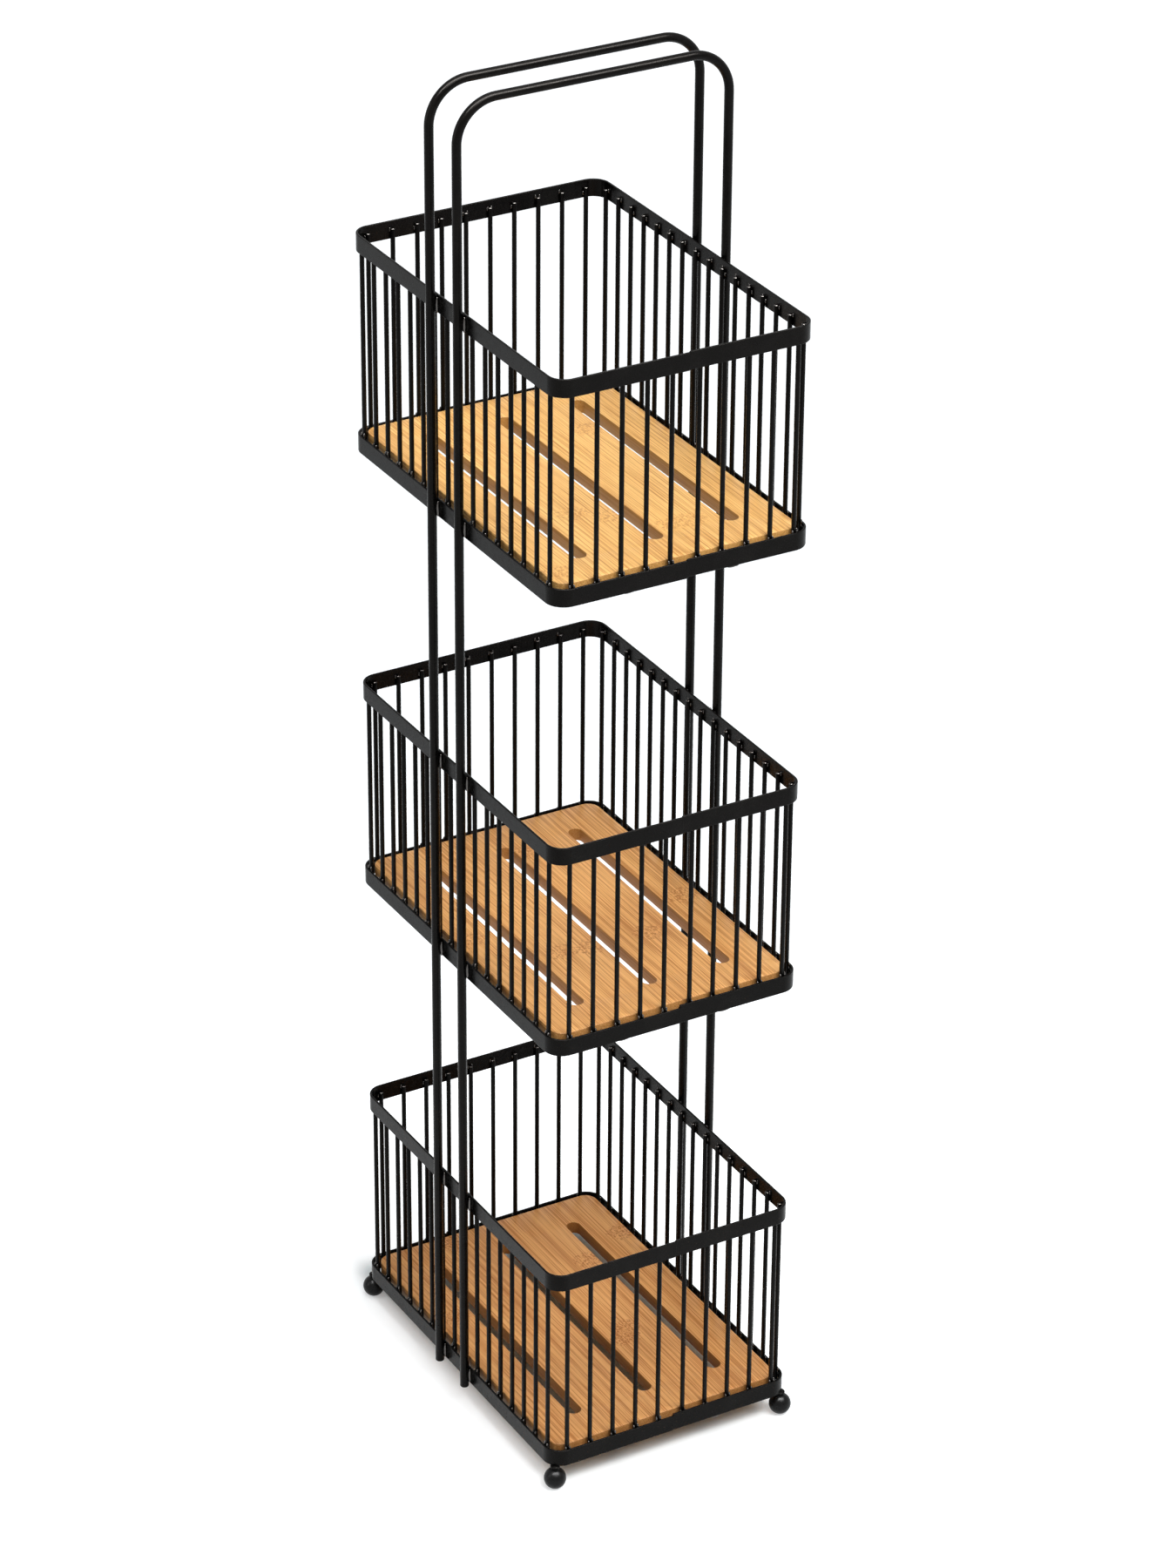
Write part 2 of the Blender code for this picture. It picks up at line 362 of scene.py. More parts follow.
class Shader(Graph):
    """A material's node tree round one Principled shader."""

    def __init__(self, name: str) -> None:
        """Starts a material, with its point in the object's own metres.

        Args:
            name: The material's name.
        """
        self.material = bpy.data.materials.new(name)
        self.material.use_nodes = True
        super().__init__(self.material.node_tree)
        self.surface = self.tree.nodes["Principled BSDF"]
        self.point = self.add("ShaderNodeTexCoord").outputs["Object"]
        self.axes = self.add("ShaderNodeSeparateXYZ", {0: self.point}).outputs

    def stretched(self, scale: Point, shift: object = 0.0) -> Socket:
        """The point on axes stretched by a scale, then moved along X by a shift."""
        step = self.add("ShaderNodeCombineXYZ", {0: shift}).outputs[0]
        return self.vector("MULTIPLY_ADD", self.point, scale, step)

    def noise(
        self, scale: float, detail: float, rough: float = 0.5, where: Socket | None = None
    ) -> Socket:
        """A noise texture round 0.5, read at the plain point if no other is given."""
        wanted = {
            "Vector": self.point if where is None else where,
            "Scale": scale, "Detail": detail, "Roughness": rough,
        }
        return self.add("ShaderNodeTexNoise", wanted).outputs[0]

    def bump(self, height: Socket, depth: float, strength: float) -> None:
        """Raises the surface by a height from 0 to 1, times a depth in metres."""
        wanted = {"Height": height, "Distance": depth, "Strength": strength}
        self.set(Normal=self.add("ShaderNodeBump", wanted).outputs[0])

    def set(self, **values: object) -> None:
        """Sets sockets of the shader; an underscore in a name stands for a space."""
        for key, value in values.items():
            self.feed(self.surface.inputs[key.replace("_", " ")], value)


@dataclass(frozen=True)
class PowderCoat:
    """Black powder coat baked on steel, satin, with a very fine orange-peel texture."""

    name: str = "black_powder_coat"
    colour: Colour = (0.0016, 0.0015, 0.0014, 1.0)
    worn_colour: Colour = (0.0038, 0.0035, 0.0032, 1.0)
    wear_scale: float = 55.0
    wear_span: Span = (0.42, 0.72)
    smoothest: float = 0.20
    roughest: float = 0.30
    haze_scale: float = 260.0
    shine: float = 0.075
    tint: Colour = (1.0, 0.93, 0.88, 1.0)
    peel_scale: float = 1500.0
    peel_depth: float = 0.000004
    peel_strength: float = 0.6

    def make(self) -> Finish:
        """Builds the material."""
        shader = Shader(self.name)
        wear = shader.ramp(shader.noise(self.wear_scale, 3.0, 0.6), *self.wear_span)
        haze = shader.noise(self.haze_scale, 3.0)
        shader.set(
            Base_Color=shader.blend(wear, self.colour, self.worn_colour),
            Roughness=shader.ramp(haze, *NOISE_SPAN, self.smoothest, self.roughest),
            Specular_IOR_Level=self.shine, Specular_Tint=self.tint,
        )
        shader.bump(shader.noise(self.peel_scale, 2.0), self.peel_depth, self.peel_strength)
        return shader.material


@dataclass(frozen=True)
class GlossBlack:
    """Smooth black lacquer of the ball feet."""

    name: str = "foot_black"
    colour: Colour = (0.0022, 0.0022, 0.0022, 1.0)
    hazy_colour: Colour = (0.0042, 0.0042, 0.0043, 1.0)
    smoothest: float = 0.26
    roughest: float = 0.35
    haze_scale: float = 400.0
    shine: float = 0.13
    ripple_scale: float = 700.0
    ripple_depth: float = 0.00002
    ripple_strength: float = 0.3

    def make(self) -> Finish:
        """Builds the material."""
        shader = Shader(self.name)
        haze = shader.noise(self.haze_scale, 3.0)
        shader.set(
            Base_Color=shader.blend(haze, self.colour, self.hazy_colour),
            Roughness=shader.ramp(haze, *NOISE_SPAN, self.smoothest, self.roughest),
            Specular_IOR_Level=self.shine,
        )
        shader.bump(shader.noise(self.ripple_scale, 1.0), self.ripple_depth, self.ripple_strength)
        return shader.material


class Cut(Enum):
    """Which way a bamboo surface is cut, in the order of a board's material slots."""

    FACE = "face"
    END = "end_grain"
    SLOT = "slot_wall"

    @property
    def index(self) -> int:
        """The number of the cut's material slot."""
        return list(Cut).index(self)


class Shade(Enum):
    """Factors on a board's tone, for red, green and blue."""

    PALE_STRIP = (1.14, 1.21, 1.30)
    DEEP_STRIP = (1.01, 0.99, 0.94)
    LIGHT_FIBRE = (1.22, 1.36, 1.55)
    DARK_FIBRE = (0.68, 0.52, 0.36)
    MARK_GROUND = (0.92, 0.80, 0.66)
    MARK_SPECK = (0.57, 0.37, 0.23)
    END_GRAIN = (0.66, 0.58, 0.50)
    END_DOT = (0.48, 0.36, 0.26)
    # The slot walls' colour: partly their own, partly painted shade.
    SLOT_WALL = (0.46, 0.37, 0.26)


@dataclass(frozen=True)
class Bamboo:
    """Lacquered bamboo of edge-glued strips: lengthwise fibres and speckled nodes."""

    tier: str
    cut: Cut
    # The board's tone, which holds painted shade: darker on the lower boards.
    tone: Point
    node_marks: tuple[Span, ...]
    seed: float
    mark_strength: float
    strip_width: float = 0.0206
    # Number of the strip at X = 0, and how far apart the patterns of two strips can lie.
    middle_strip: float = 40.5
    strip_shift: float = 190.0
    # Width of a streak with the gap beside it, and its length.
    clouds: Span = (0.0110, 0.11)
    fibres: Span = (0.0013, 0.22)
    hairs: Span = (0.0006, 0.09)
    # Noise values at which the light hairs end and the dark streaks begin.
    light_span: Span = (0.38, 0.46)
    dark_span: Span = (0.53, 0.60)
    light_hairs: float = 0.80
    dark_fibres: float = 0.55
    dark_hairs: float = 0.90
    # Half the width and half the length of a planed node, and how ragged its outline is.
    mark_reach: Span = (0.0105, 0.0085)
    mark_wobble: float = 2.2
    wobble_scale: float = 330.0
    mark_edge: Span = (1.9, 2.5)
    mark_grain: Point = (820.0, 470.0, 820.0)
    end_grain: Point = (1500.0, 60.0, 1100.0)
    smoothest: float = 0.36
    roughest: float = 0.50
    relief_depth: float = 0.00005

    # How strongly each kind of cut reflects: the walls of the slots aren't lacquered.
    shine = {Cut.FACE: 0.30, Cut.END: 0.25, Cut.SLOT: 0.12}

    def make(self) -> Finish:
        """Builds the material."""
        shader = Shader(f"bamboo_{self.tier}_{self.cut.value}")
        tone, relief = self.grain(shader)
        if self.node_marks:
            tone = self.marked(shader, tone)
        if self.cut is Cut.END:
            tone = self.end_dots(shader, tone)
        if self.cut is Cut.SLOT:
            # The walls of the slots are painted darker: partly the bare cut bamboo's own colour,
            # partly painted shade in the slots.
            tone = self.shaded(shader, 0.75, tone, Shade.SLOT_WALL)
        rough = shader.ramp(relief, 0.2, 0.8, self.smoothest, self.roughest)
        shader.set(Base_Color=tone, Roughness=rough, Specular_IOR_Level=self.shine[self.cut])
        shader.bump(relief, self.relief_depth, 0.5)
        return shader.material

    def shade(self, shade: Shade) -> Colour:
        """The board's tone times a shade's factors."""
        return (*(own * factor for own, factor in zip(self.tone, shade.value)), 1.0)

    def shaded(self, shader: Shader, share: object, tone: Socket, shade: Shade) -> Socket:
        """A colour with a share of a shade over it."""
        return shader.blend(share, tone, self.shade(shade))

    def grain(self, shader: Shader) -> tuple[Socket, Socket]:
        """The lengthwise fibres and the random tone of each glued strip.

        Args:
            shader: The material to add to.

        Returns:
            The colour and a relief from 0 to 1.
        """
        place = shader.math("DIVIDE", shader.axes[0], self.strip_width)
        number = shader.math("FLOOR", shader.math("ADD", place, self.middle_strip + self.seed))
        white = shader.add("ShaderNodeTexWhiteNoise", {"W": number}, noise_dimensions="1D")
        chance = white.outputs["Value"]
        shift = shader.math("MULTIPLY", chance, self.strip_shift)
        clouds, fibres, hairs = (
            shader.noise(
                1.0, 2.0, 0.55, shader.stretched((1.0 / wide, 1.0 / long, 1.0 / wide), shift)
            )
            for wide, long in (self.clouds, self.fibres, self.hairs)
        )
        drift = shader.ramp(clouds, 0.35, 0.65, 0.0, 0.5)
        level = shader.math("ADD", shader.math("MULTIPLY", chance, 0.5), drift)
        tone = shader.blend(level, self.shade(Shade.PALE_STRIP), self.shade(Shade.DEEP_STRIP))
        light = shader.ramp(hairs, *self.light_span, self.light_hairs, 0.0)
        tone = self.shaded(shader, light, tone, Shade.LIGHT_FIBRE)
        for streak, strength in ((fibres, self.dark_fibres), (hairs, self.dark_hairs)):
            dark = shader.ramp(streak, *self.dark_span, 0.0, strength)
            tone = self.shaded(shader, dark, tone, Shade.DARK_FIBRE)
        return tone, shader.math("MULTIPLY", shader.math("ADD", fibres, hairs), 0.5)

    def marked(self, shader: Shader, tone: Socket) -> Socket:
        """Adds the speckled marks where the bamboo's nodes were planed.

        Args:
            shader: The material to add to.
            tone: The colour so far.

        Returns:
            The colour with its marks.
        """
        wobble = shader.math("MULTIPLY", shader.noise(self.wobble_scale, 2.0), self.mark_wobble)
        cover: object = 0.0
        for mark in self.node_marks:
            square: object = 0.0
            for axis, middle, reach in zip(shader.axes, mark, self.mark_reach):
                away = shader.math("DIVIDE", shader.math("SUBTRACT", axis, middle), reach)
                square = shader.math("ADD", square, shader.math("POWER", away, 2.0))
            inside = shader.ramp(shader.math("ADD", square, wobble), *self.mark_edge, 1.0, 0.0)
            cover = shader.math("MAXIMUM", cover, inside)
        speckle = shader.noise(1.0, 3.0, 0.7, shader.stretched(self.mark_grain))
        for shade, share in (
            (Shade.MARK_GROUND, 0.25),
            (Shade.LIGHT_FIBRE, shader.ramp(speckle, 0.38, 0.45, 0.60, 0.0)),
            (Shade.MARK_SPECK, shader.ramp(speckle, 0.52, 0.57, 0.0, self.mark_strength)),
        ):
            tone = self.shaded(shader, shader.math("MULTIPLY", cover, share), tone, shade)
        return tone

    def end_dots(self, shader: Shader, tone: Socket) -> Socket:
        """Darkens the end grain and adds its cut fibre bundles."""
        dots = shader.noise(1.0, 2.0, where=shader.stretched(self.end_grain))
        return self.shaded(
            shader, shader.ramp(dots, 0.52, 0.66, 0.0, 0.5),
            self.shaded(shader, 0.55, tone, Shade.END_GRAIN), Shade.END_DOT,
        )


# --- Parts ---


@dataclass
class Strip:
    """Flat steel strip bent round a basket, its ends butted in the middle of the front."""

    name: str
    width: float
    length: float
    low: float
    high: float
    corner_radius: float
    # How far the right end stands above the left one, at its upper and its lower edge.
    end_steps: Span = (0.0006, 0.0005)
    corner_steps: int = 12
    edge_rounding: float = 0.0004
    seam_gap: float = 0.00012

    def build(self) -> Piece:
        """Bends the strip, sets its ends off by a step and rounds its edges.

        Returns:
            The strip, not dressed yet.
        """
        bpy.ops.mesh.primitive_plane_add(size=1.0, location=(0.0, 0.0, self.low))
        piece = adopt(self.name, (self.width, self.length, 1.0))
        with editing(piece):
            bevel(self.corner_radius, self.corner_steps, "VERTICES")
            bpy.ops.mesh.delete(type="ONLY_FACE")
            self.part_the_ends(piece)
            bpy.ops.mesh.select_all(action="SELECT")
            extrude((0.0, 0.0, self.high - self.low))
            self.offset_the_ends(piece)
        self.face_outwards(piece)
        apply_modifier(
            piece, "SOLIDIFY", thickness=STRIP_THICKNESS, offset=-1.0, use_even_offset=True
        )
        round_edges(piece, self.edge_rounding, 2, 50.0)
        smooth(piece, 50.0)
        apply_modifier(piece, "WEIGHTED_NORMAL", keep_sharp=True)
        return piece

    def at_seam(self, vert: bmesh.types.BMVert) -> bool:
        """Whether a vertex lies at one of the strip's two ends."""
        return vert.co.y < 0.0 and abs(vert.co.x - SEAM_X) < self.seam_gap

    def part_the_ends(self, piece: Piece) -> None:
        """Cuts the loop open in the front.

        Args:
            piece: The loop of edges, in edit mode.
        """
        for side in (-0.5, 0.5):
            bpy.ops.mesh.select_all(action="SELECT")
            cut = (SEAM_X + side * self.seam_gap, 0.0, 0.0)
            bpy.ops.mesh.bisect(plane_co=cut, plane_no=(1.0, 0.0, 0.0), threshold=CUT_TOLERANCE)
        pick(piece, Element.EDGE, lambda edge: all(self.at_seam(vert) for vert in edge.verts))
        bpy.ops.mesh.delete(type="EDGE")

    def offset_the_ends(self, piece: Piece) -> None:
        """Shifts the left end down and the right end up, as they were clamped for welding.

        Args:
            piece: The open wall, in edit mode.
        """
        middle = (self.low + self.high) / 2
        for sign in (-1, 1):
            for upper, step in zip((True, False), self.end_steps):
                pick(
                    piece, Element.VERT,
                    lambda vert: self.at_seam(vert) and (vert.co.x - SEAM_X) * sign > 0.0
                    and (vert.co.z > middle) == upper,
                )
                bpy.ops.transform.translate(value=(0.0, 0.0, sign * step / 2))

    @staticmethod
    def face_outwards(piece: Piece) -> None:
        """Turns the open wall's faces away from the middle of the basket.

        Args:
            piece: The open wall.
        """
        with editing(piece):
            bpy.ops.mesh.normals_make_consistent(inside=False)
        face = piece.data.polygons[0]
        if face.normal.dot(Vector((face.center.x, face.center.y, 0.0))) < 0.0:
            with editing(piece):
                bpy.ops.mesh.flip_normals()


@dataclass
class Wire:
    """One upright wire, modelled at the origin and copied to its places."""

    radius: float
    low: float
    high: float
    coat: Finish
    tip_coat: Finish
    sides: int = 12
    tip_rounding: float = 0.0005
    # A face is part of a tip when its normal rises by more than this.
    tip_slant: float = 0.2

    def build(self) -> Piece:
        """Turns a rod with rounded tips.

        Returns:
            The dressed wire.
        """
        bpy.ops.mesh.primitive_cylinder_add(
            vertices=self.sides, radius=self.radius, depth=self.high - self.low,
            location=(0.0, 0.0, (self.low + self.high) / 2),
        )
        piece = adopt("wire_pattern")
        with editing(piece):
            pick(piece, Element.FACE, lambda face: abs(face.normal.z) > FACING)
            bevel(self.tip_rounding, 2)
        smooth(piece, 60.0)
        dress(piece, self.coat, self.tip_coat)
        for face in piece.data.polygons:
            face.material_index = int(abs(face.normal.z) > self.tip_slant)
        return piece


@dataclass
class Bead:
    """A small bump of weld metal, modelled at the origin and copied to its places."""

    size: Point
    seed: int
    roughness: float = 0.12
    segments: int = 8
    rings: int = 5

    def build(self) -> Piece:
        """Squeezes a ball to the bead's size and makes it slightly uneven.

        Returns:
            The bead, not dressed yet.
        """
        bpy.ops.mesh.primitive_uv_sphere_add(
            segments=self.segments, ring_count=self.rings, radius=1.0
        )
        piece = adopt("weld_pattern", tuple(length / 2 for length in self.size))
        with editing(piece):
            bpy.ops.transform.vertex_random(offset=self.roughness * min(self.size), seed=self.seed)
        smooth(piece, 80.0)
        return piece


@dataclass
class Basket:
    """One wire basket: two strips, its upright wires and their welds."""

    tier: Tier
    coat: Finish
    weld_coat: Finish
    strip_height: float = 0.012
    corner_radius: float = 0.012
    wire_radius: float = 0.00155
    wire_inset: float = 0.002632
    tip_inset: float = 0.0045
    long_side_wires: int = 16
    short_side_wires: int = 10
    seam_gap_extra: float = 0.0017
    # Share of a wire's radius from its axis to its beads, outwards and to either side.
    bead_out: float = 0.70
    bead_aside: float = 0.95
    # Least and greatest height of a bead's middle above the edge of its strip.
    foot_bead_span: Span = (0.0102, 0.0122)
    rim_bead_span: Span = (0.0030, 0.0075)
    seam_bead_depth: float = 0.00019
    bar_bead_gap: float = 0.0003
    bar_drop_shift: float = 0.001
    chance: random.Random = field(default_factory=lambda: random.Random(5))

    # How far the right end of each lower strip stands above the left one, at both edges.
    base_steps = {
        Tier.BOTTOM: (0.0017, 0.0004), Tier.MIDDLE: (0.0024, 0.0003), Tier.TOP: (0.0010, 0.0010),
    }

    def __post_init__(self) -> None:
        """Takes the basket's outer sizes from the CAD nodes."""
        cage_low, cage_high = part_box(f"{self.tier.value}_wire_cage")
        base_low, base_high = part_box(f"{self.tier.value}_base_band")
        self.width = cage_high.x - cage_low.x
        self.length = cage_high.y - cage_low.y
        self.rim = cage_high.z
        self.foot = base_low.z
        self.base_width = base_high.x - base_low.x
        self.base_length = base_high.y - base_low.y

    def build(self) -> None:
        """Builds and dresses every piece of the basket."""
        self.build_strips()
        self.build_wires()
        self.build_wire_welds()
        self.build_seam_welds()
        self.build_bar_welds()

    def build_strips(self) -> None:
        """The upper strip and the lower one, which is a little wider."""
        rim = Strip(
            f"{self.tier.value}_rim_strip", self.width, self.length,
            self.rim - self.strip_height, self.rim, self.corner_radius,
        )
        base = Strip(
            f"{self.tier.value}_base_strip", self.base_width, self.base_length,
            self.foot, self.foot + self.strip_height,
            self.corner_radius + (self.base_width - self.width) / 2, self.base_steps[self.tier],
        )
        finish(rim.build(), self.coat, f"{self.tier.value}_wire_cage")
        finish(base.build(), self.coat, f"{self.tier.value}_base_band")

    def places(self) -> list[tuple[float, float, Point]]:
        """Centre of each wire, with the direction from it to the strips.

        Returns:
            X, Y and the outward direction of every wire.
        """
        side_x = self.width / 2 - self.wire_inset
        side_y = self.length / 2 - self.wire_inset
        long_span = self.length - 2 * self.corner_radius
        short_span = self.width - 2 * self.corner_radius
        found = []
        for y in self.spread(self.long_side_wires, long_span):
            found += [(side_x, y, (1.0, 0.0, 0.0)), (-side_x, y, (-1.0, 0.0, 0.0))]
        for x in self.spread(self.short_side_wires, short_span):
            found.append((x, side_y, (0.0, 1.0, 0.0)))
        for x in self.spread(self.short_side_wires, short_span, self.seam_gap_extra):
            found.append((x, -side_y, (0.0, -1.0, 0.0)))
        return found

    @staticmethod
    def spread(count: int, span: float, middle_extra: float = 0.0) -> list[float]:
        """Even places along a span, with the middle gap wider by middle_extra."""
        pitch = (span - middle_extra) / (count - 1)
        return [
            -span / 2 + index * pitch + (middle_extra if index >= count / 2 else 0.0)
            for index in range(count)
        ]

    def build_wires(self) -> None:
        """All the upright wires."""
        low, high = self.foot + self.tip_inset, self.rim - self.tip_inset
        pattern = Wire(self.wire_radius, low, high, self.coat, self.weld_coat).build()
        wires = [
            copied(pattern, (x, y, 0.0), self.chance.uniform(0.0, math.pi))
            for x, y, _ in self.places()
        ]
        piece = gathered(wires, [pattern], f"{self.tier.value}_wires")
        hand_over(piece, "frame", "black_powder_coat")

    def build_wire_welds(self) -> None:
        """Beads where each wire is welded to both strips, the largest at its foot."""
        small = [Bead((0.0013, 0.0011, 0.0030), seed).build() for seed in (1, 2)]
        large = [
            Bead((0.0016, 0.0015, length), seed).build()
            for seed, length in ((3, 0.0044), (4, 0.0054), (5, 0.0048))
        ]
        beads = []
        for x, y, out in self.places():
            middle = Vector((x, y, 0.0)) + Vector(out) * (self.wire_radius * self.bead_out)
            aside = Vector((-out[1], out[0], 0.0)) * self.wire_radius * self.bead_aside
            turn = math.atan2(out[0], -out[1])
            for sign in (-1, 1):
                for patterns, base, span in (
                    (large, self.foot, self.foot_bead_span),
                    (small, self.rim - self.strip_height, self.rim_bead_span),
                ):
                    height = base + self.chance.uniform(*span)
                    where = middle + aside * sign + Vector((0.0, 0.0, height))
                    beads.append(copied(self.chance.choice(patterns), where, turn))
        welds = gathered(beads, small + large, f"{self.tier.value}_wire_welds")
        finish(welds, self.weld_coat)

    def build_seam_welds(self) -> None:
        """The ground weld that closes each strip's ends in the front."""
        pattern = Bead((0.0016, 0.0005, self.strip_height * 0.98), 11, 0.04, 12, 9).build()
        depth = STRIP_THICKNESS / 2 - self.seam_bead_depth
        seams = []
        for low, length in (
            (self.foot, self.base_length), (self.rim - self.strip_height, self.length)
        ):
            y = -length / 2 + STRIP_THICKNESS / 2
            for side in (-1, 1):
                where = (SEAM_X, y + side * depth, low + self.strip_height / 2)
                seams.append(copied(pattern, where))
        finish(gathered(seams, [pattern], f"{self.tier.value}_seam_welds"), self.coat)

    def build_bar_welds(self) -> None:
        """Beads where the flat bars under the board meet the lower strip."""
        beads, patterns = [], []
        for side in ("left", "right"):
            low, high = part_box(f"{self.tier.value}_support_bar_{side}")
            bead = Bead((high.x - low.x, 0.0018, 0.0022), 21, 0.10, 12, 7).build()
            drop = Bead((0.0085, 0.0014, 0.0013), 22, 0.12, 12, 7).build()
            patterns += [bead, drop]
            for end in (-1, 1):
                y = end * (self.base_length / 2 - STRIP_THICKNESS - self.bar_bead_gap)
                for z in (low.z, high.z):
                    beads.append(copied(bead, ((low.x + high.x) / 2, y, z)))
                y = end * (self.base_length - STRIP_THICKNESS) / 2
                beads.append(copied(drop, (low.x + self.bar_drop_shift, y, self.foot)))
            dress(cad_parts[f"{self.tier.value}_support_bar_{side}"], self.coat)
        finish(gathered(beads, patterns, f"{self.tier.value}_bar_welds"), self.weld_coat)


@dataclass
class Board:
    """A bamboo board with three long slots that lies inside the wires."""

    tier: Tier
    finishes: list[Finish]
    corner_radius: float = 0.009
    slot_width: float = 0.010
    slot_length: float = 0.201
    slot_pitch: float = 0.054
    slots: int = 3
    edge_rounding: float = 0.0006
    corner_steps: int = 12
    # How far a slot's cutter stands out of the board, and how nearly its ends are round.
    cutter_reach: float = 0.005
    cutter_flat: float = 0.00001
    # Upright faces this far inside the board's outline are walls of slots.
    rim_width: float = 0.012
    # Greatest rise of an upright face's normal, and least part along Y of end grain's.
    upright: float = 0.5
    endwise: float = 0.6

    def build(self) -> None:
        """Cuts, rounds and dresses the board."""
        node = f"{self.tier.value}_board"
        low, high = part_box(node)
        name = f"{self.tier.value}_bamboo_board"
        piece = self.rounded_block(name, low, high, self.corner_radius)
        tall = (high.z - low.z) / 2 + self.cutter_reach
        reach = Vector((self.slot_width / 2, self.slot_length / 2, tall))
        for index in range(self.slots):
            x = (index - (self.slots - 1) / 2) * self.slot_pitch
            middle = Vector((x, 0.0, (low.z + high.z) / 2))
            cutter = self.rounded_block(
                "slot_cutter", middle - reach, middle + reach,
                self.slot_width / 2 - self.cutter_flat,
            )
            apply_modifier(piece, "BOOLEAN", operation="DIFFERENCE", solver="EXACT", object=cutter)
            remove(cutter)
        round_edges(piece, self.edge_rounding, 3, 60.0)
        smooth(piece, 40.0)
        dress(piece, *self.finishes)
        self.sort_faces(piece, high)
        hand_over(piece, f"{self.tier.value}_tray", "bamboo", node)

    def rounded_block(self, name: str, low: Vector, high: Vector, radius: float) -> Piece:
        """A block with its upright edges rounded.

        Args:
            name: The object's name.
            low: Lowest corner.
            high: Highest corner.
            radius: Radius of the upright edges.

        Returns:
            The settled block.
        """
        bpy.ops.mesh.primitive_cube_add(size=1.0, location=(low + high) / 2)
        block = adopt(name, high - low)
        with editing(block):
            pick(
                block, Element.EDGE,
                lambda edge: abs(edge.verts[0].co.z - edge.verts[1].co.z) > 0.001,
            )
            bevel(radius, self.corner_steps)
        return block

    def sort_faces(self, piece: Piece, high: Vector) -> None:
        """Gives the end grain and the slot walls their own materials.

        Args:
            piece: The board.
            high: Its highest corner.
        """
        for face in piece.data.polygons:
            if abs(face.normal.z) >= self.upright:
                continue
            outside = max(abs(face.center.x) - high.x, abs(face.center.y) - high.y)
            if outside < -self.rim_width:
                face.material_index = Cut.SLOT.index
            elif abs(face.normal.y) > self.endwise:
                face.material_index = Cut.END.index


@dataclass
class Hoop:
    """A round rod bent into a tall hoop, its legs welded outside the long sides."""

    node: str
    coat: Finish
    weld_coat: Finish
    sides: int = 24
    bend_radius: float = 0.027
    bend_steps: int = 18
    tip_rounding: float = 0.0007
    # Place of a bead beside a leg, out from the strip's face and along it.
    bead_out: float = 0.0006
    bead_aside: float = 0.0026
    bead_jitter: float = 0.0006

    def __post_init__(self) -> None:
        """Takes the hoop's sizes from its CAD node."""
        low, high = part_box(self.node)
        self.radius = (high.y - low.y) / 2
        self.y = (low.y + high.y) / 2
        self.leg_x = high.x - self.radius
        self.tip = low.z
        self.bar_z = high.z - self.radius

    def build(self) -> None:
        """Draws the rod up one leg, over the top and down the other."""
        bpy.ops.mesh.primitive_circle_add(
            vertices=self.sides, radius=self.radius, location=(-self.leg_x, self.y, self.tip)
        )
        piece = adopt(f"{self.node}_rod")
        bend_x = self.leg_x - self.bend_radius
        bend_z = self.bar_z - self.bend_radius
        with editing(piece):
            for step, side in (((0.0, 0.0, bend_z - self.tip), -1), ((2 * bend_x, 0.0, 0.0), 1)):
                extrude(step)
                bpy.ops.mesh.spin(
                    steps=self.bend_steps, angle=math.radians(-90), axis=(0.0, 1.0, 0.0),
                    center=(side * bend_x, self.y, bend_z),
                )
            extrude((0.0, 0.0, self.tip - bend_z))
            bpy.ops.mesh.select_all(action="SELECT")
            bpy.ops.mesh.remove_doubles(threshold=0.00001)
            bpy.ops.mesh.fill_holes(sides=0)
            bpy.ops.mesh.normals_make_consistent(inside=False)
            pick(piece, Element.FACE, lambda face: len(face.verts) > 4)
            bevel(self.tip_rounding, 3)
        smooth(piece, 50.0)
        finish(piece, self.coat, self.node)

    def build_welds(self, faces: list[Span]) -> None:
        """Fillets of weld metal along both sides of each leg, at every strip.

        Args:
            faces: Middle height of each strip and the X of its outer face.
        """
        patterns = [
            Bead((0.0026, 0.0026, 0.0105), seed, 0.07, 10, 9).build() for seed in (31, 32, 33)
        ]
        chance = random.Random(self.node)
        beads = []
        for height, face_x in faces:
            for leg in (-1, 1):
                for side in (-1, 1):
                    where = (
                        leg * (face_x + self.bead_out), self.y + side * self.bead_aside,
                        height + chance.uniform(-self.bead_jitter, self.bead_jitter),
                    )
                    beads.append(copied(chance.choice(patterns), where))
        finish(gathered(beads, patterns, f"{self.node}_welds"), self.weld_coat)


